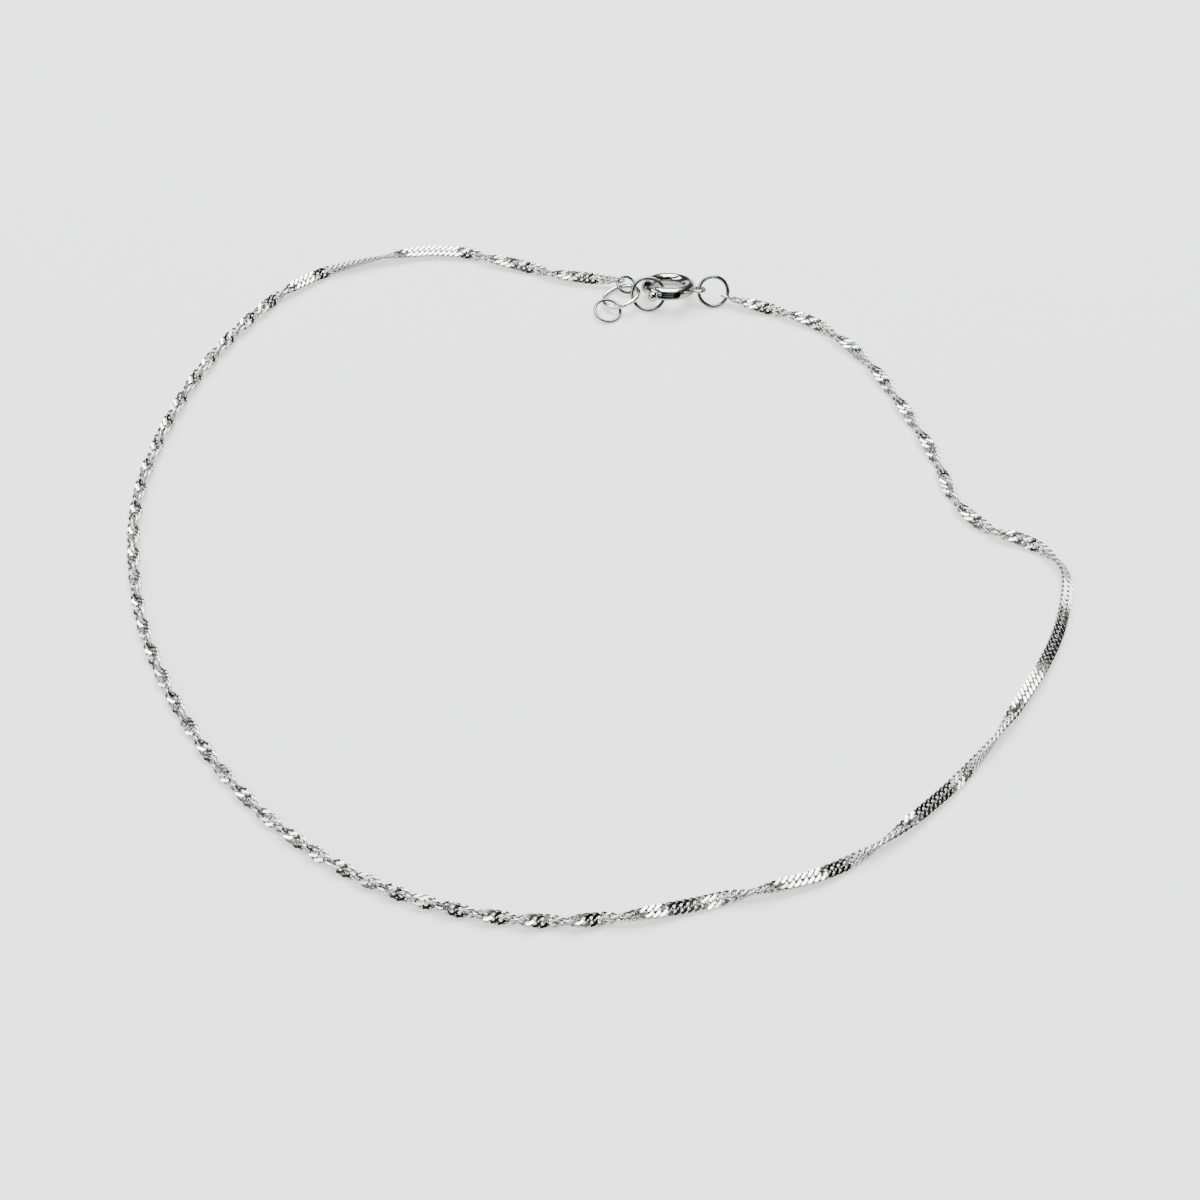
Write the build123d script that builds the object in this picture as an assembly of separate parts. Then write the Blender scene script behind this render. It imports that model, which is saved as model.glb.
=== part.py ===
from build123d import *
import math
import os

# A chain anklet, lying closed on a flat surface. Millimetres, +Z up, the surface at Z = 0.
# The twisted chain is a round tube of the twisted chain's outer diameter, with a small soldered
# link on each end. A jump ring on one end link carries the extension rings, and the clasp is
# hooked to one of them. The clasp's eye hangs on the jump ring of the chain's other end.

# ---- driving dimensions ----------------------------------------------------------------------
CHAIN_WIDTH = 1.27          # diameter that the twisted chain sweeps
CHAIN_HEIGHT = CHAIN_WIDTH / 2 + 0.005
END_LINK_WIRE = 0.26        # wire diameter of the small link soldered on each end of the chain
END_LINK_RADIUS = 0.50      # its centreline radius
END_LINK_SINK = 0.10        # how far its wire's centre lies inside the tube's end
END_TAPER = (0.35, 0.90)    # the tube narrows to the end link: by how much, and over what length
ARC_SHARE = 0.45            # share of the shorter run that an arc of the route takes up

# Chain route: corners of the centreline, from the left end round to the right end.
ROUTE = [
    (2.02, 36.82), (-2.2, 37.5), (-8.0, 39.7), (-15.0, 42.3), (-22.5, 40.8), (-29.5, 37.5),
    (-34.5, 31.2), (-38.5, 23.6), (-41.2, 14.5), (-42.5, 5.5), (-41.5, -3.5), (-39.6, -11.0),
    (-36.1, -18.8), (-31.5, -26.2), (-26.0, -32.5), (-19.0, -37.7), (-11.5, -40.8), (-3.5, -42.1),
    (4.5, -41.1), (12.5, -39.0), (20.0, -36.8), (26.5, -31.5), (32.2, -25.5), (36.6, -18.8),
    (40.2, -12.5), (42.0, -7.0), (42.6, -2.6), (39.5, 0.5), (35.5, 2.0), (33.0, 6.0),
    (32.1, 11.5), (29.5, 18.6), (26.5, 25.6), (21.6, 31.2), (16.6, 33.0), (13.5, 34.2),
]
END_LIFTS = (0.40, 0.22)    # how far the jump rings lift the chain's two ends
END_LINK_ROLLS = (22, -47)  # how far each end link is turned from upright, about the chain

# Rings: centreline radius, wire diameter, centre, lean of the ring's plane from flat (degrees)
# and the direction in which its upper edge points (degrees from +X).
RINGS = {
    # name: (radius, wire, (x, y, z), lean, toward)
    "jump_ring_left": (0.90, 0.30, (3.14, 36.38, 0.77), 26, 127),
    "extension_large_ring": (1.82, 0.46, (2.59, 34.55, 0.77), 17, 334),
    "extension_end_ring": (1.28, 0.32, (1.26, 32.63, 0.57), 18, 121),
    "extension_hook_ring": (1.62, 0.34, (5.33, 34.39, 1.23), 40, 92),
    "jump_ring_right": (1.46, 0.38, (11.82, 34.61, 1.38), 53, 96),
}

# Clasp: a tube bent into a ring, with a gap that a sliding bolt closes. Angles are counted in
# degrees about the ring's own axis, counter-clockwise from the eye.
CLASP_CENTRE = (7.36, 35.42, 1.34)
CLASP_LEAN = 19
CLASP_TOWARD = 269
CLASP_TURN = -16            # how far the clasp is turned about its own axis
CLASP_RADIUS = 2.125        # centreline radius of the tube ring
CLASP_TUBE = 1.25           # outer diameter of the tube
BOLT_DIAMETER = 0.75
BOLT_CLEARANCE = 0.05       # radial running clearance of the bolt in the tube's bore
GAP_START, GAP_END = -113, -159     # the gap in the tube that the bolt closes
BOLT_SEAT = 6               # how far the closed bolt's tip enters the far side
SEAT_DEPTH = 9              # how deep the hole for that tip is
BOLT_TAIL = 12              # how far the bolt reaches behind its knob
BORE_END = -24              # where the bore ends, short of the eye
KNOB_ANGLE = -104           # the knob's place with the clasp closed
KNOB_TRAVEL = 48            # how far the knob slides to open the clasp
KNOB_DIAMETER = 1.05
KNOB_RISE = 0.46            # the knob's centre above the tube's outer side
STEM_DIAMETER = 0.46        # the stem that joins the knob to the bolt
SLOT_CLEARANCE = 0.07       # on each side of the stem in its slot
EYE_RADIUS = 0.54           # centreline radius of the soldered eye
EYE_WIRE = 0.36
EYE_RISE = 0.40             # the eye's centre beyond the tube's outer side
CUT_OVERRUN = 1             # how far a cut runs past the face it opens through

CLASP_EDGE = CLASP_RADIUS + CLASP_TUBE / 2


def place(shape, centre, lean, toward):
    """Lean a flat shape so that its edge toward the given direction rises, and move it there."""
    return Pos(*centre) * Rot(0, 0, toward) * Rot(0, -lean, 0) * Rot(0, 0, -toward) * shape


def torus_sector(radius, wire, start, end):
    """A bent rod about the Z axis, from one angle (degrees) counter-clockwise to another."""
    profile = Plane.XZ * Pos(radius, 0) * Circle(wire / 2)
    return revolve(Rot(0, 0, start) * profile, Axis.Z, end - start)


def route_radii(points):
    """The largest arc at each corner that both of its runs allow."""
    radii = []
    for before, corner, after in zip(points, points[1:], points[2:]):
        run_in, run_out = Vector(corner) - Vector(before), Vector(after) - Vector(corner)
        half_turn = math.radians(run_in.get_angle(run_out) / 2)
        radii.append(ARC_SHARE * min(run_in.length, run_out.length) / math.tan(half_turn))
    return radii


def end_link(end, inner, roll):
    """The soldered link on one end of the chain, in a plane that holds the chain's direction."""
    outward = (Vector(end) - Vector(inner)).normalized()
    centre = Vector(end) + outward * (END_LINK_RADIUS - END_LINK_SINK)
    heading = math.degrees(math.atan2(outward.Y, outward.X))
    ring = Rot(0, 0, heading) * Rot(90 + roll, 0, 0) * Torus(END_LINK_RADIUS, END_LINK_WIRE / 2)
    return Pos(*centre) * ring


def make_chain():
    lifts = [END_LIFTS[0]] + [0] * (len(ROUTE) - 2) + [END_LIFTS[1]]
    points = [(x, y, CHAIN_HEIGHT + lift) for (x, y), lift in zip(ROUTE, lifts)]
    radii = route_radii(points)
    print("chain radii", [round(radius, 1) for radius in radii])
    path = FilletPolyline(*points, radius=radii)
    start = Plane(origin=points[0], z_dir=Vector(points[1]) - Vector(points[0]))
    tube = sweep(start * Circle(CHAIN_WIDTH / 2), path=path)
    expected = math.pi * (CHAIN_WIDTH / 2) ** 2 * path.length
    print(f"chain length {path.length:.2f}, tube volume over section x length {tube.volume / expected:.4f}")
    for end in (points[0], points[-1]):
        face = tube.faces().filter_by(GeomType.PLANE).sort_by_distance(end)[0]
        tube = chamfer(face.edges(), END_TAPER[0], END_TAPER[1], reference=face)
    left_link = end_link(points[0], points[1], END_LINK_ROLLS[0])
    right_link = end_link(points[-1], points[-2], END_LINK_ROLLS[1])
    return tube + left_link + right_link


def make_clasp_body():
    tube = torus_sector(CLASP_RADIUS, CLASP_TUBE, GAP_START, 360 + GAP_END)
    bore_diameter = BOLT_DIAMETER + 2 * BOLT_CLEARANCE
    seat = torus_sector(CLASP_RADIUS, bore_diameter, GAP_END - SEAT_DEPTH, GAP_END + CUT_OVERRUN)
    bore = torus_sector(CLASP_RADIUS, bore_diameter, GAP_START - CUT_OVERRUN, BORE_END)
    slot_width = STEM_DIAMETER + 2 * SLOT_CLEARANCE
    slot_start, slot_end = GAP_START - CUT_OVERRUN, KNOB_ANGLE + KNOB_TRAVEL
    slot_profile = Plane.XZ * Pos(CLASP_EDGE, 0) * Rectangle(CLASP_TUBE, slot_width)
    slot = revolve(Rot(0, 0, slot_start) * slot_profile, Axis.Z, slot_end - slot_start)
    slot_cap = Rot(0, 0, slot_end) * Pos(CLASP_EDGE, 0, 0) * Rot(0, 90, 0)
    slot += slot_cap * Cylinder(slot_width / 2, CLASP_TUBE)
    eye = Pos(CLASP_EDGE + EYE_RISE, 0, 0) * Torus(EYE_RADIUS, EYE_WIRE / 2)
    return tube - seat - bore - slot + eye


def make_clasp_trigger():
    bolt = torus_sector(CLASP_RADIUS, BOLT_DIAMETER, GAP_END - BOLT_SEAT, KNOB_ANGLE + BOLT_TAIL)
    knob_radius = CLASP_EDGE + KNOB_RISE
    stem_length = knob_radius - CLASP_RADIUS
    stem_place = Pos(CLASP_RADIUS + stem_length / 2, 0, 0) * Rot(0, 90, 0)
    stem = stem_place * Cylinder(STEM_DIAMETER / 2, stem_length)
    knob = Pos(knob_radius, 0, 0) * Sphere(KNOB_DIAMETER / 2)
    return bolt + Rot(0, 0, KNOB_ANGLE) * (stem + knob)


def build_parts():
    parts = {"chain": make_chain()}
    for name, (radius, wire, centre, lean, toward) in RINGS.items():
        parts[name] = place(Torus(radius, wire / 2), centre, lean, toward)
    for name, shape in (("clasp_body", make_clasp_body()), ("clasp_trigger", make_clasp_trigger())):
        turned = Rot(0, 0, CLASP_TURN) * shape
        parts[name] = place(turned, CLASP_CENTRE, CLASP_LEAN, CLASP_TOWARD)
    return parts


os.makedirs("parts", exist_ok=True)
for node, solid in build_parts().items():
    export_step(solid, f"parts/{node}.step")
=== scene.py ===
"""Looks of a fine twisted-chain anklet: its links, rings and clasp, and the stage they lie on."""
import math

import bpy
import numpy as np
from bpy.props import FloatProperty, FloatVectorProperty, IntProperty, PointerProperty
from mathutils import Matrix, Vector


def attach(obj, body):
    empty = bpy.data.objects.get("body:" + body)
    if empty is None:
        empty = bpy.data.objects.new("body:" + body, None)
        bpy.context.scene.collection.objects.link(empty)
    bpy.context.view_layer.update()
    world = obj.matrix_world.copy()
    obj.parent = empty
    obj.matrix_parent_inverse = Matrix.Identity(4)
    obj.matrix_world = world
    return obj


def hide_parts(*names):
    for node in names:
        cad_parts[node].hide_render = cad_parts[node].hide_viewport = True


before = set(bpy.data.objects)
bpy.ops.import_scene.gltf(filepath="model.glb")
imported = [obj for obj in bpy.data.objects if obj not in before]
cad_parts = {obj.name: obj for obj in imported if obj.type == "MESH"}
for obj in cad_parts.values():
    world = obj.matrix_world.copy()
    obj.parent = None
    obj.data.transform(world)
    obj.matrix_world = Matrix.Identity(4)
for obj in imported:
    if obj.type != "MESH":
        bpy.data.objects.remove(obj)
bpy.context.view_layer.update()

bl_info = {
    "name": "Twisted Chain Anklet",
    "version": (1, 0, 0),
    "blender": (4, 5, 0),
    "location": "3D View > Sidebar > Anklet",
    "description": "Builds the links, rings and clasp of a twisted-chain anklet and its stage",
    "category": "Object",
}

# ---- the chain's route -------------------------------------------------------------------------
CHAIN_HEIGHT = 0.00064
END_LIFTS = (0.00040, 0.00022)      # how far the jump rings lift the chain's two ends
CHAIN_ROUTE = (
    (0.00202, 0.03682), (-0.0022, 0.0375), (-0.0080, 0.0397), (-0.0150, 0.0423),
    (-0.0225, 0.0408), (-0.0295, 0.0375), (-0.0345, 0.0312), (-0.0385, 0.0236),
    (-0.0412, 0.0145), (-0.0425, 0.0055), (-0.0415, -0.0035), (-0.0396, -0.0110),
    (-0.0361, -0.0188), (-0.0315, -0.0262), (-0.0260, -0.0325), (-0.0190, -0.0377),
    (-0.0115, -0.0408), (-0.0035, -0.0421), (0.0045, -0.0411), (0.0125, -0.0390),
    (0.0200, -0.0368), (0.0265, -0.0315), (0.0322, -0.0255), (0.0366, -0.0188),
    (0.0402, -0.0125), (0.0420, -0.0070), (0.0426, -0.0026), (0.0395, 0.0005),
    (0.0355, 0.0020), (0.0330, 0.0060), (0.0321, 0.0115), (0.0295, 0.0186),
    (0.0265, 0.0256), (0.0216, 0.0312), (0.0166, 0.0330), (0.0135, 0.0342),
)
ROUTE_STEPS = 32            # points of the smooth line for each corner of the route
ROUTE_LEAD = 0.002          # how far that line is carried on, straight, past the chain's ends

# How far the chain has twisted: millimetres from its left end, half-turns so far. At every whole
# half-turn a broad side faces along BROAD_SIDE.
TWIST = (
    (0.0, -0.5), (3.6, 0), (10.2, 1), (14.2, 1.5), (16.6, 2.18), (21.5, 2.24), (24.0, 2.47),
    (30.0, 2.60), (32.0, 3.14), (34.4, 3.20), (38.3, 4), (41.5, 5.14), (44.7, 6), (60.7, 11),
    (78.1, 17), (96.9, 23), (112.4, 28), (127.6, 34), (134.4, 36), (138.8, 37), (140.7, 37.5),
    (143.4, 37.80), (144.7, 37.87), (145.4, 37.99), (148.15, 38.072), (149.5, 38.095),
    (151.9, 38.5), (154.7, 38.77), (158.0, 38.87), (158.5, 38.95), (159.8, 39.06),
    (164.2, 39.5), (166.9, 39.70), (167.7, 39.93), (171.2, 40.0), (174.6, 40.12),
    (180.3, 40.5), (183.5, 40.80), (187.5, 40.88), (196.0, 41.12), (199.0, 41.165),
    (200.0, 41.26), (201.5, 41.40), (202.5, 41.5), (206.0, 42), (221.3, 45), (236.4, 48),
    (247.6, 50), (251.0, 50.7),
)
MM_PER_METRE = 1000
SLOW_RUNS = (140.7, 202.5)  # between these millimetres the chain twists just as the table says
BEAD_EASE = 0.47            # elsewhere, how much slower it twists at a bead than on average
BROAD_SIDE_RISE = math.radians(47)
BROAD_SIDE = Vector((0, -math.cos(BROAD_SIDE_RISE), math.sin(BROAD_SIDE_RISE)))

# ---- links -------------------------------------------------------------------------------------
LINK_OVAL_STEPS = 4         # sides of each quarter of a link's oval
LINK_BEVEL_STEPS = 1        # makes the link's wire six-sided
LINK_PAINTED_SHADE = (0.15, 0.5)   # painted shade on all of a link's wire, and how much more its inner side has
CUT_SNAP = 1e-8             # a corner closer than this to the plane of a cut lies in it
CUT_FLATNESS = 0.99         # least upright part of a cut face's normal
FIRST_LINK = 0.6            # the first link's middle from the chain's end, in pitches
END_LINK_RADIUS, END_LINK_WIRE, END_LINK_SINK = 0.00050, 0.00026, 0.00010
END_LINK_STEPS, END_LINK_SIDES = 28, 10
# End links: name, the end of the route, the corner before it, the end's lift, roll from upright.
END_LINKS = (
    ("end_link_left", CHAIN_ROUTE[0], CHAIN_ROUTE[1], END_LIFTS[0], 22),
    ("end_link_right", CHAIN_ROUTE[-1], CHAIN_ROUTE[-2], END_LIFTS[1], -47),
)

# ---- rings: name, centreline radius, wire, centre, lean and heading of the upper edge, seam ----
RINGS = (
    ("jump_ring_left", 0.00090, 0.00030, (0.00314, 0.03638, 0.00077), 26, 127, 20),
    ("extension_large_ring", 0.00182, 0.00046, (0.00259, 0.03455, 0.00077), 17, 334, 250),
    ("extension_end_ring", 0.00128, 0.00032, (0.00126, 0.03263, 0.00057), 18, 121, 215),
    ("extension_hook_ring", 0.00162, 0.00034, (0.00533, 0.03439, 0.00123), 40, 92, 60),
    ("jump_ring_right", 0.00146, 0.00038, (0.01182, 0.03461, 0.00138), 53, 96, 95),
)
RING_PAINTED_SHADE = (0.4, 0.7)    # painted shade on a ring's wire, and how much of it its outer and upper sides lose
RING_SHADE_LIFT = (0.6, 0.8)    # share of that on the ring's outside, and on its upper side
RING_SMOOTH = math.radians(50)
WELD = 1e-7                 # points closer than this count as one


def deselect_all():
    if bpy.context.object and bpy.context.object.mode != "OBJECT":
        bpy.ops.object.mode_set(mode="OBJECT")
    bpy.ops.object.select_all(action="DESELECT")


def make_active(piece):
    deselect_all()
    piece.select_set(True)
    bpy.context.view_layer.objects.active = piece


def apply_place(piece, place):
    """Put a piece in its place and leave its object at the origin."""
    piece.matrix_world = place @ piece.matrix_world
    make_active(piece)
    bpy.ops.object.transform_apply(location=True, rotation=True, scale=True)


def leaned(centre, lean, toward):
    """The place of a flat ring whose edge toward a heading is raised by a lean, in degrees."""
    heading = Matrix.Rotation(math.radians(toward), 4, "Z")
    tilt = Matrix.Rotation(math.radians(-lean), 4, "Y")
    return Matrix.Translation(centre) @ heading @ tilt @ heading.inverted()


def outward_normals(piece):
    make_active(piece)
    bpy.ops.object.mode_set(mode="EDIT")
    bpy.ops.mesh.select_all(action="SELECT")
    bpy.ops.mesh.remove_doubles(threshold=WELD)
    bpy.ops.mesh.normals_make_consistent(inside=False)
    bpy.ops.object.mode_set(mode="OBJECT")


def corners(piece):
    return np.array([tuple(corner.co) for corner in piece.data.vertices])


def unit(vectors):
    return vectors / np.linalg.norm(vectors, axis=-1, keepdims=True)


# ---- materials ---------------------------------------------------------------------------------
SHADE_TONE = (0.42, 0.41, 0.38)    # what the painted shade on the wires' inner and lower sides keeps of the metal's colour
DARKER_TONE = 0.86              # and what the darkest clouds in a polished side keep of it
GLOSS_RANGE = (0.3, 0.7)        # values of the noise between which the gloss changes
TONE_RANGE = (0.3, 0.65)        # and between which the tone does
CLOUD_DETAIL, MARKS_DETAIL = 3, 2
MARKS_FINENESS = 9              # how much finer the polishing marks are than the clouds
MARKS_STRETCH = (1.0, 0.25, 1.0)
MARKS_DEPTH = 0.00001


def mark_painted_shade(piece, shade_amount):
    """Keep with a piece how much painted shade its points get, from 0 to 1."""
    layer = piece.data.attributes.new("recess", "FLOAT", "POINT")
    layer.data.foreach_set("value", np.clip(shade_amount, 0, 1))


def metal(name, colour, roughness, spread, grain, marking):
    """Polished metal: a slightly varying tone and gloss, fine polishing marks, and painted shade
    from the piece's shade attribute.
    """
    material = bpy.data.materials.new(name)
    material.use_nodes = True
    nodes, links = material.node_tree.nodes, material.node_tree.links
    shader = nodes["Principled BSDF"]
    shader.inputs["Metallic"].default_value = 1.0
    place = nodes.new("ShaderNodeTexCoord")
    cloud = nodes.new("ShaderNodeTexNoise")
    cloud.inputs["Scale"].default_value = grain
    cloud.inputs["Detail"].default_value = CLOUD_DETAIL
    links.new(place.outputs["Object"], cloud.inputs["Vector"])
    gloss = nodes.new("ShaderNodeMapRange")
    gloss.inputs["From Min"].default_value = GLOSS_RANGE[0]
    gloss.inputs["From Max"].default_value = GLOSS_RANGE[1]
    gloss.inputs["To Min"].default_value = roughness
    gloss.inputs["To Max"].default_value = roughness + spread
    links.new(cloud.outputs["Fac"], gloss.inputs["Value"])
    links.new(gloss.outputs["Result"], shader.inputs["Roughness"])
    tone = nodes.new("ShaderNodeValToRGB")
    darker, lighter = tone.color_ramp.elements
    darker.position, lighter.position = TONE_RANGE
    darker.color = tuple(c * DARKER_TONE for c in colour) + (1,)
    lighter.color = tuple(colour) + (1,)
    links.new(cloud.outputs["Fac"], tone.inputs["Fac"])
    # painted shade: the piece's shade attribute darkens the base colour
    recess = nodes.new("ShaderNodeAttribute")
    recess.attribute_name = "recess"
    shade_mix = nodes.new("ShaderNodeMix")
    shade_mix.data_type = "RGBA"
    shade_mix.blend_type = "MULTIPLY"
    shade_mix.inputs["B"].default_value = (*SHADE_TONE, 1)
    links.new(recess.outputs["Fac"], shade_mix.inputs["Factor"])
    links.new(tone.outputs["Color"], shade_mix.inputs["A"])
    links.new(shade_mix.outputs["Result"], shader.inputs["Base Color"])
    stretch = nodes.new("ShaderNodeMapping")
    stretch.inputs["Scale"].default_value = MARKS_STRETCH
    links.new(place.outputs["Object"], stretch.inputs["Vector"])
    marks = nodes.new("ShaderNodeTexNoise")
    marks.inputs["Scale"].default_value = grain * MARKS_FINENESS
    marks.inputs["Detail"].default_value = MARKS_DETAIL
    links.new(stretch.outputs["Vector"], marks.inputs["Vector"])
    bump = nodes.new("ShaderNodeBump")
    bump.inputs["Strength"].default_value = marking
    bump.inputs["Distance"].default_value = MARKS_DEPTH
    links.new(marks.outputs["Fac"], bump.inputs["Height"])
    links.new(bump.outputs["Normal"], shader.inputs["Normal"])
    return material


def dress(piece, slot, *materials):
    piece.data.materials.clear()
    for material in materials:
        piece.data.materials.append(material)


# ---- sizes that a user would change ------------------------------------------------------------
class AnkletChainSettings(bpy.types.PropertyGroup):
    wire: FloatProperty(
        name="Link wire", description="Diameter of a link's wire",
        default=0.00027, min=0.0001, max=0.0005, unit="LENGTH", precision=6)
    half_length: FloatProperty(
        name="Link half length", description="Link centreline, along the chain",
        default=0.00072, min=0.0002, max=0.001, unit="LENGTH", precision=6)
    half_width: FloatProperty(
        name="Link half width", description="Link centreline, across the chain",
        default=0.000503, min=0.0002, max=0.001, unit="LENGTH", precision=6)
    pitch: FloatProperty(
        name="Link pitch", description="Distance from one link to the next",
        default=0.00056, min=0.0003, max=0.002, unit="LENGTH", precision=6)
    curb: FloatProperty(
        name="Curb twist", description="Twist of one link over its own length",
        default=math.radians(-118), subtype="ANGLE")
    cut: FloatProperty(
        name="Cut height", description="Distance of the diamond-cut faces from the middle",
        default=0.000195, min=0.0001, max=0.0005, unit="LENGTH", precision=6)
    hand: FloatProperty(
        name="Hand", description="1 or -1: the way the whole chain twists", default=1)
    follow: FloatProperty(
        name="Follow", description="How far a link bends with the chain's own twist",
        default=0.7, min=0, max=1)
    # painted shade: the links' round wire is a darker silver than their cut faces
    shaded_wire_colour: FloatVectorProperty(
        name="Link metal", description="Colour of the links' round wire",
        default=(0.50, 0.50, 0.49), subtype="COLOR", min=0, max=1)
    cut_colour: FloatVectorProperty(
        name="Cut metal", description="Colour of the diamond-cut faces",
        default=(0.74, 0.74, 0.735), subtype="COLOR", min=0, max=1)


class AnkletRingSettings(bpy.types.PropertyGroup):
    steps: IntProperty(
        name="Ring steps", description="Faces along a ring", default=56, min=16, max=96)
    sides: IntProperty(
        name="Wire sides", description="Faces around a ring's wire", default=14, min=6, max=32)
    seam: FloatProperty(
        name="Seam", description="Width of the butt joint in a jump ring, as an angle",
        default=math.radians(1.6), subtype="ANGLE")
    # painted highlight: the large ring's silver is lighter than the thin rings'
    lit_large_ring_colour: FloatVectorProperty(
        name="Large ring metal", description="Colour of the brighter large ring",
        default=(0.70, 0.70, 0.68), subtype="COLOR", min=0, max=1)
    # painted shade: the thin rings' silver is much darker than the large ring's
    colour: FloatVectorProperty(
        name="Ring metal", description="Colour of the thin rings",
        default=(0.15, 0.16, 0.15), subtype="COLOR", min=0, max=1)
    # painted shade: the clasp's silver is darker than the links'
    shaded_clasp_colour: FloatVectorProperty(
        name="Clasp metal", description="Colour of the clasp",
        default=(0.31, 0.32, 0.305), subtype="COLOR", min=0, max=1)


class AnkletStageSettings(bpy.types.PropertyGroup):
    floor_colour: FloatVectorProperty(
        name="Floor", description="Colour of the pale floor",
        default=(0.41, 0.42, 0.435), subtype="COLOR", min=0, max=1)
    floor_glow: FloatVectorProperty(
        name="Floor glow", description="Light that comes up through the floor",
        default=(1.10, 1.06, 1.02), subtype="COLOR", min=0, max=3)
    key_power: FloatProperty(
        name="Window light", description="Power of the long softbox overhead and behind",
        default=40.0, min=0, unit="POWER")
    right_power: FloatProperty(
        name="Right light", description="Power of the small softbox to the right",
        default=0.86, min=0, unit="POWER")
    low_power: FloatProperty(
        name="Low light", description="Power of the low softbox behind to the right",
        default=2.0, min=0, unit="POWER")
    front_power: FloatProperty(
        name="Front light", description="Power of the small softbox in front to the right",
        default=1.0, min=0, unit="POWER")
    left_band: FloatProperty(
        name="Left band", description="Brightness of the bright band to the left",
        default=15.0, min=0)
    surround: FloatProperty(
        name="Surround", description="Brightness of the white studio around",
        default=0.12, min=0)


# ---- the chain ---------------------------------------------------------------------------------
def route_line():
    """Points along the smooth line of the chain's route."""
    curve = bpy.data.curves.new("chain_line", "CURVE")
    curve.dimensions = "3D"
    curve.resolution_u = ROUTE_STEPS
    spline = curve.splines.new("NURBS")
    spline.points.add(len(CHAIN_ROUTE) - 1)
    lifts = (END_LIFTS[0], *(0 for _ in CHAIN_ROUTE[1:-1]), END_LIFTS[1])
    for point, (x, y), lift in zip(spline.points, CHAIN_ROUTE, lifts):
        point.co = (x, y, CHAIN_HEIGHT + lift, 1)
    spline.order_u = 3
    spline.use_endpoint_u = True
    line = bpy.data.objects.new("chain_line", curve)
    bpy.context.scene.collection.objects.link(line)
    mesh = bpy.data.meshes.new_from_object(line)
    points = np.array([tuple(v.co) for v in mesh.vertices])
    bpy.data.objects.remove(line)
    bpy.data.meshes.remove(mesh)
    return points


def one_link(size):
    """A curb link: an oval of wire, twisted about the chain's direction, with two cut faces."""
    deselect_all()
    bpy.ops.curve.primitive_bezier_circle_add(radius=1.0, location=(0, 0, 0))
    link = bpy.context.object
    link.name = "curb_link"
    bpy.ops.object.mode_set(mode="EDIT")
    bpy.ops.curve.select_all(action="SELECT")
    bpy.ops.transform.resize(value=(size.half_length, size.half_width, 1))
    bpy.ops.object.mode_set(mode="OBJECT")
    link.data.resolution_u = LINK_OVAL_STEPS
    link.data.bevel_depth = size.wire / 2
    link.data.bevel_resolution = LINK_BEVEL_STEPS
    bpy.ops.object.convert(target="MESH")
    # painted shade: the inner side of the link's wire is darker, and all of the wire a little
    oval = corners(link) / (size.half_length, size.half_width, size.wire / 2)
    inward = (1 - np.hypot(oval[:, 0], oval[:, 1])) * size.half_width / (size.wire / 2)
    mark_painted_shade(link, LINK_PAINTED_SHADE[0] + LINK_PAINTED_SHADE[1] * inward)
    twist = link.modifiers.new("curb", "SIMPLE_DEFORM")
    twist.deform_method = "TWIST"
    twist.deform_axis = "X"
    twist.angle = size.curb
    bpy.ops.object.modifier_apply(modifier=twist.name)
    outward_normals(link)
    for side in (1, -1):
        bpy.ops.object.mode_set(mode="EDIT")
        bpy.ops.mesh.select_all(action="SELECT")
        bpy.ops.mesh.bisect(plane_co=(0, 0, side * size.cut), plane_no=(0, 0, side),
                            use_fill=True, clear_outer=True, threshold=CUT_SNAP)
        bpy.ops.object.mode_set(mode="OBJECT")
    for face in link.data.polygons:
        level = abs(abs(face.center.z) - size.cut) < WELD
        cut_face = level and abs(face.normal.z) > CUT_FLATNESS
        face.material_index = 1 if cut_face else 0
        face.select = cut_face
        face.use_smooth = True
    bpy.ops.object.mode_set(mode="EDIT")
    bpy.ops.mesh.select_mode(type="FACE")
    bpy.ops.mesh.region_to_loop()
    bpy.ops.mesh.mark_sharp()
    bpy.ops.mesh.select_mode(type="VERT")
    bpy.ops.object.mode_set(mode="OBJECT")
    return link


def half_turns(at):
    """How many half-turns the chain has twisted at a distance from its left end, in metres."""
    at = at * MM_PER_METRE
    places, marks = np.array(TWIST).T
    turns = np.interp(at, places, marks)
    tight = (at < SLOW_RUNS[0]) | (at > SLOW_RUNS[1])
    return turns - tight * BEAD_EASE * np.sin(2 * math.pi * turns) / (2 * math.pi)


def lay_links(link, size):
    """The points of each copy of a link, laid along the route and turned with the chain."""
    line = route_line()
    line = np.concatenate([[line[0] + unit(line[0] - line[1]) * ROUTE_LEAD], line,
                           [line[-1] + unit(line[-1] - line[-2]) * ROUTE_LEAD]])
    runs = np.linalg.norm(np.diff(line, axis=0), axis=1)
    along = np.concatenate([[0], np.cumsum(runs)]) - ROUTE_LEAD
    length = along[-1] - ROUTE_LEAD

    def on_route(at):
        return np.stack([np.interp(at, along, line[:, axis]) for axis in range(3)], axis=-1)

    first = size.pitch * FIRST_LINK
    count = round((length - 2 * first) / size.pitch) + 1
    middles = np.linspace(first, length - first, count)
    shape = corners(link)
    at = middles[:, None] + shape[None, :, 0]
    heading = unit(on_route(at + size.pitch) - on_route(at - size.pitch))
    broad = unit(np.array(BROAD_SIDE) - heading * (heading @ np.array(BROAD_SIDE))[..., None])
    across = np.cross(broad, heading)
    turns, own = half_turns(at), half_turns(middles)[:, None]
    angle = size.hand * math.pi * (own + size.follow * (turns - own))[..., None]
    side, up = shape[None, :, 1, None], shape[None, :, 2, None]
    side, up = (side * np.cos(angle) - up * np.sin(angle),
                side * np.sin(angle) + up * np.cos(angle))
    return on_route(at) + side * across + up * broad


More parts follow.
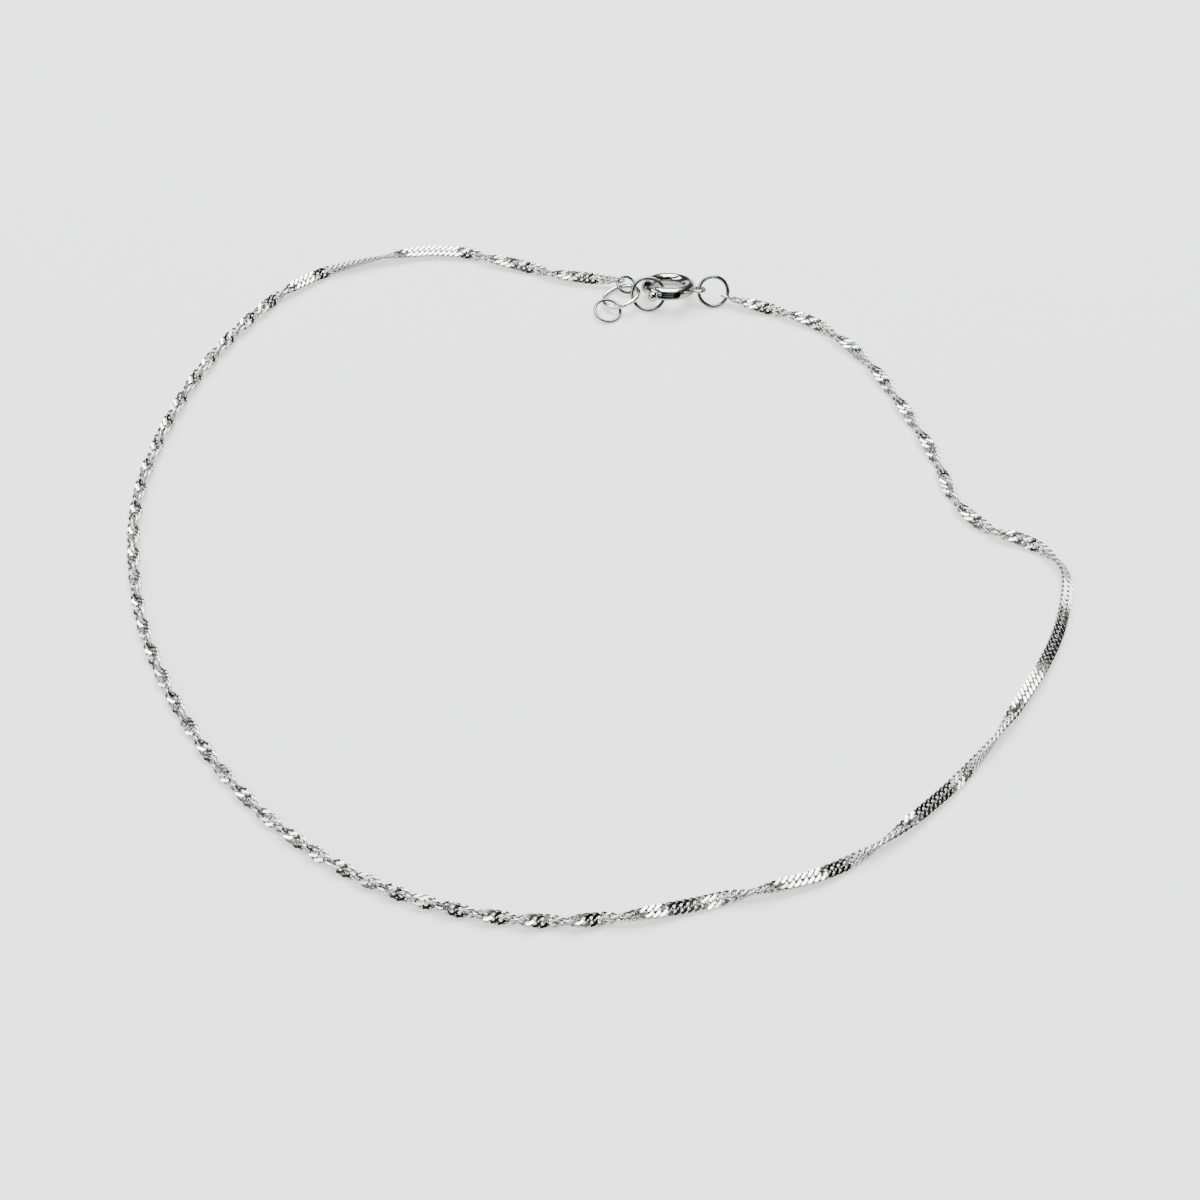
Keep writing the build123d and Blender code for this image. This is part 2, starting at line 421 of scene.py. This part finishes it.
def end_link_place(end, inner, roll):
    outward = (Vector(end) - Vector(inner)).normalized()
    centre = Vector(end) + outward * (END_LINK_RADIUS - END_LINK_SINK)
    heading = Matrix.Rotation(math.atan2(outward.y, outward.x), 4, "Z")
    return Matrix.Translation(centre) @ heading @ Matrix.Rotation(math.radians(90 + roll), 4, "X")


def wire_ring(name, radius, wire, steps, sides, seam=0, start=0):
    """A ring of round wire, flat about the origin. With a seam, it starts and ends in a joint."""
    deselect_all()
    bpy.ops.mesh.primitive_circle_add(vertices=sides, radius=wire / 2, location=(radius, 0, 0),
                                      rotation=(math.radians(90), 0, 0))
    ring = bpy.context.object
    ring.name = name
    apply_place(ring, Matrix.Rotation(start, 4, "Z"))
    bpy.ops.object.mode_set(mode="EDIT")
    bpy.ops.mesh.select_all(action="SELECT")
    bpy.ops.mesh.spin(steps=steps, angle=2 * math.pi - seam, center=(0, 0, 0), axis=(0, 0, 1))
    if seam:
        bpy.ops.mesh.select_all(action="DESELECT")
        bpy.ops.mesh.select_non_manifold()
        bpy.ops.mesh.fill_holes(sides=0)
    bpy.ops.object.mode_set(mode="OBJECT")
    outward_normals(ring)
    # painted shade: the ring wire's lower and inner side is darker, its upper and outer side is
    # not
    x, y, z = corners(ring).T
    out, up = (np.hypot(x, y) - radius) / (wire / 2), z / (wire / 2)
    shade_lift = RING_SHADE_LIFT[0] * out + RING_SHADE_LIFT[1] * up
    mark_painted_shade(ring, RING_PAINTED_SHADE[0] - RING_PAINTED_SHADE[1] * shade_lift)
    make_active(ring)
    bpy.ops.object.shade_smooth_by_angle(angle=RING_SMOOTH)
    return ring


def link_wire(name, colour):
    """Polished metal for the links' wire and the end links."""
    return metal(name, colour, roughness=0.10, spread=0.12, grain=900, marking=0.25)


class ANKLET_OT_chain(bpy.types.Operator):
    """Make one curb link, copy it along the route and join the copies"""
    bl_idname = "anklet.chain"
    bl_label = "Lay the Chain"

    def execute(self, context):
        size = context.scene.anklet_chain
        link = one_link(size)
        copies = []
        for number, places in enumerate(lay_links(link, size)):
            copy = bpy.data.objects.new(f"link_{number}", link.data.copy())
            copy.data.vertices.foreach_set("co", places.ravel())
            context.scene.collection.objects.link(copy)
            copies.append(copy)
        bpy.data.objects.remove(link)
        deselect_all()
        for copy in copies:
            copy.select_set(True)
        context.view_layer.objects.active = copies[0]
        bpy.ops.object.join()
        chain = context.object
        chain.name = "chain_links"
        # painted shade: the wire and the end links take the darker silver
        wire = link_wire("silver_link_wire", size.shaded_wire_colour)
        cut_face = metal("silver_diamond_cut", size.cut_colour, roughness=0.03, spread=0.05,
                         grain=700, marking=0.10)
        dress(chain, "polished_chain", wire, cut_face)
        for name, end, inner, lift, roll in END_LINKS:
            ring = wire_ring(name, END_LINK_RADIUS, END_LINK_WIRE, END_LINK_STEPS, END_LINK_SIDES)
            end, inner = (*end, CHAIN_HEIGHT + lift), (*inner, CHAIN_HEIGHT)
            apply_place(ring, end_link_place(end, inner, roll))
            dress(ring, "polished_chain", link_wire(f"silver_{name}", size.shaded_wire_colour))
            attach(ring, "anklet")
        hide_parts("chain")
        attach(chain, "anklet")
        return {"FINISHED"}


class ANKLET_OT_rings(bpy.types.Operator):
    """Make the jump rings and the extension rings"""
    bl_idname = "anklet.rings"
    bl_label = "Make the Rings"

    def execute(self, context):
        size = context.scene.anklet_rings
        # painted shade on the thin rings, painted highlight on the large ring: one silver in a
        # dark and a light colour
        shaded_thin_ring_wire = metal("silver_ring_wire", size.colour, roughness=0.18, spread=0.12,
                          grain=500, marking=0.3)
        lit_large_ring_wire = metal("silver_large_ring_wire", size.lit_large_ring_colour, roughness=0.10,
                           spread=0.12, grain=500, marking=0.3)
        for name, radius, wire, centre, lean, toward, seam_at in RINGS:
            ring = wire_ring(name + "_wire", radius, wire, size.steps, size.sides, size.seam,
                             math.radians(seam_at))
            apply_place(ring, leaned(centre, lean, toward))
            large = name == "extension_large_ring"
            dress(ring, "polished_rings", lit_large_ring_wire if large else shaded_thin_ring_wire)
            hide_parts(name)
            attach(ring, "anklet")
        return {"FINISHED"}


class ANKLET_OT_clasp(bpy.types.Operator):
    """Finish the clasp's case and trigger"""
    bl_idname = "anklet.clasp"
    bl_label = "Finish the Clasp"

    def execute(self, context):
        # painted shade: the case and trigger take the darker silver
        colour = context.scene.anklet_rings.shaded_clasp_colour
        case = metal("silver_clasp_case", colour, roughness=0.10, spread=0.14, grain=400,
                     marking=0.3)
        bolt = metal("silver_clasp_bolt", colour, roughness=0.08, spread=0.10, grain=400,
                     marking=0.2)
        dress(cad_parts["clasp_body"], "polished_clasp", case)
        dress(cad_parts["clasp_trigger"], "polished_clasp", bolt)
        return {"FINISHED"}


# ---- the stage ---------------------------------------------------------------------------------
FLOOR_SIZE = 7.0
FLOOR_ROUGHNESS, FLOOR_GLOSS = 0.85, 0.2
# Softboxes: name, place, what it points at, width, height, the setting that holds its power.
SOFTBOXES = (
    ("window_softbox", (0.01, 0.50, 0.80), (0.01, 0.50, 0), 0.59, 1.00, "key_power"),
    ("right_softbox", (0.846, -0.089, 0.293), (0, 0, 0), 0.14, 0.14, "right_power"),
    ("low_softbox", (0.76, 0.48, 0.12), (0.042, 0, 0), 0.25, 0.16, "low_power"),
    ("front_softbox", (0.3955, -0.8214, 0.222), (0.009, -0.039, 0), 0.055, 0.05, "front_power"),
)
# Parts of the studio around, in degrees: heading and height of the middle, then how far from the
# middle the fade starts and ends.
DARK_SIDES = ((-90, 30, 50, 65), (5, 35, 40, 55))   # the front and the right
LEFT_BAND = (180, 39, 36, 42)
DARK_SHARE = 0.04               # share of the studio's light that the dark sides keep
BAND_HALF_HEIGHT = 6.5          # how far the band reaches above and below its middle, in degrees
BAND_FADE = 0.15                # how soft its upper and lower edges are, as a share of that
COOL_TINT, WARM_TINT = (0.86, 1.0, 1.0), (1.0, 0.74, 0.68)  # of the studio's back and its front
TINT_FADE = (0.2, 0.7)          # where one turns into the other, from 0 at the side to 1 in front
CAMERA_PLACE, CAMERA_TILT = (0.0005, -0.1604, 0.1653), math.radians(43)
CAMERA_LENS, CAMERA_SENSOR = 75.93, 36
CAMERA_REACH = (0.01, 10)       # the nearest and the furthest that it sees


def softbox(name, place, target, width, height, power):
    deselect_all()
    bpy.ops.object.light_add(type="AREA", location=place)
    light = bpy.context.object
    light.name = name
    light.data.shape = "RECTANGLE"
    light.data.size, light.data.size_y = width, height
    light.data.energy = power
    aim = Vector(target) - Vector(place)
    light.rotation_euler = aim.to_track_quat("-Z", "Y").to_euler()


def studio_surround(brightness, band_brightness):
    """A dim studio, nearly dark in front and to the right, with a bright band to the left."""
    world = bpy.data.worlds.new("studio_surround")
    world.use_nodes = True
    nodes, links = world.node_tree.nodes, world.node_tree.links
    direction = nodes.new("ShaderNodeTexCoord").outputs["Generated"]

    def toward(heading, height):
        dot = nodes.new("ShaderNodeVectorMath")
        dot.operation = "DOT_PRODUCT"
        dot.inputs[1].default_value = (math.cos(heading) * math.cos(height),
                                       math.sin(heading) * math.cos(height), math.sin(height))
        links.new(direction, dot.inputs[0])
        return dot.outputs["Value"]

    def fade(value, start, end, low, high):
        step = nodes.new("ShaderNodeMapRange")
        step.interpolation_type = "SMOOTHSTEP"
        limits = {"From Min": start, "From Max": end, "To Min": low, "To Max": high}
        for name, limit in limits.items():
            step.inputs[name].default_value = limit
        links.new(value, step.inputs["Value"])
        return step.outputs["Result"]

    def combine(operation, *values):
        node = nodes.new("ShaderNodeMath")
        node.operation = operation
        for socket, value in zip(node.inputs, values):
            if isinstance(value, float):
                socket.default_value = value
            else:
                links.new(value, socket)
        return node.outputs["Value"]

    light = brightness
    for heading, height, inner, outer in np.radians(DARK_SIDES):
        side = fade(toward(heading, height), math.cos(outer), math.cos(inner), 1.0, DARK_SHARE)
        light = combine("MULTIPLY", light, side)
    heading, height, inner, outer = np.radians(LEFT_BAND)
    band = fade(toward(heading, height), math.cos(outer), math.cos(inner), 0.0, band_brightness)
    reach = math.sin(height + math.radians(BAND_HALF_HEIGHT)) - math.sin(height)
    off_middle = combine("SUBTRACT", toward(0.0, math.pi / 2), math.sin(height))
    within = fade(combine("ABSOLUTE", off_middle),
                  reach * (1 + BAND_FADE), reach * (1 - BAND_FADE), 0.0, 1.0)
    light = combine("ADD", light, combine("MULTIPLY", band, within))
    tint = nodes.new("ShaderNodeValToRGB")
    back, front = tint.color_ramp.elements
    back.position, front.position = TINT_FADE
    back.color, front.color = (*COOL_TINT, 1), (*WARM_TINT, 1)
    links.new(toward(-math.pi / 2, 0.0), tint.inputs["Fac"])
    links.new(tint.outputs["Color"], nodes["Background"].inputs["Color"])
    links.new(light, nodes["Background"].inputs["Strength"])
    return world


class ANKLET_OT_stage(bpy.types.Operator):
    """Set the pale floor, the soft lights and the camera"""
    bl_idname = "anklet.stage"
    bl_label = "Set the Stage"

    def execute(self, context):
        size = context.scene.anklet_stage
        deselect_all()
        bpy.ops.mesh.primitive_plane_add(size=FLOOR_SIZE, location=(0, 0, 0))
        floor = context.object
        floor.name = "pale_floor"
        material = bpy.data.materials.new("pale_floor")
        material.use_nodes = True
        shader = material.node_tree.nodes["Principled BSDF"]
        shader.inputs["Base Color"].default_value = (*size.floor_colour, 1)
        shader.inputs["Roughness"].default_value = FLOOR_ROUGHNESS
        shader.inputs["Specular IOR Level"].default_value = FLOOR_GLOSS
        shader.inputs["Emission Color"].default_value = (*size.floor_glow, 1)
        shader.inputs["Emission Strength"].default_value = 1.0
        floor.data.materials.append(material)
        for name, place, target, width, height, power in SOFTBOXES:
            softbox(name, place, target, width, height, getattr(size, power))
        context.scene.world = studio_surround(size.surround, size.left_band)
        deselect_all()
        bpy.ops.object.camera_add(location=CAMERA_PLACE, rotation=(CAMERA_TILT, 0, 0))
        camera = context.object
        camera.name = "studio_camera"
        camera.data.lens = CAMERA_LENS
        camera.data.sensor_width = CAMERA_SENSOR
        camera.data.clip_start, camera.data.clip_end = CAMERA_REACH
        context.scene.camera = camera
        return {"FINISHED"}


class ANKLET_PT_panel(bpy.types.Panel):
    bl_idname = "ANKLET_PT_panel"
    bl_label = "Twisted Chain Anklet"
    bl_space_type = "VIEW_3D"
    bl_region_type = "UI"
    bl_category = "Anklet"

    def draw(self, context):
        for group, operator in ((context.scene.anklet_chain, "anklet.chain"),
                                (context.scene.anklet_rings, "anklet.rings"),
                                (context.scene.anklet_stage, "anklet.stage")):
            box = self.layout.box()
            for name in group.bl_rna.properties.keys():
                if name not in ("rna_type", "name"):
                    box.prop(group, name)
            box.operator(operator)
        self.layout.operator("anklet.clasp")


CLASSES = (
    AnkletChainSettings, AnkletRingSettings, AnkletStageSettings,
    ANKLET_OT_chain, ANKLET_OT_rings, ANKLET_OT_clasp, ANKLET_OT_stage, ANKLET_PT_panel,
)


def register():
    for cls in CLASSES:
        bpy.utils.register_class(cls)
    bpy.types.Scene.anklet_chain = PointerProperty(type=AnkletChainSettings)
    bpy.types.Scene.anklet_rings = PointerProperty(type=AnkletRingSettings)
    bpy.types.Scene.anklet_stage = PointerProperty(type=AnkletStageSettings)


def unregister():
    del bpy.types.Scene.anklet_chain, bpy.types.Scene.anklet_rings, bpy.types.Scene.anklet_stage
    for cls in reversed(CLASSES):
        bpy.utils.unregister_class(cls)


def main():
    register()
    bpy.ops.anklet.chain()
    bpy.ops.anklet.rings()
    bpy.ops.anklet.clasp()
    bpy.ops.anklet.stage()


if __name__ == "__main__":
    main()
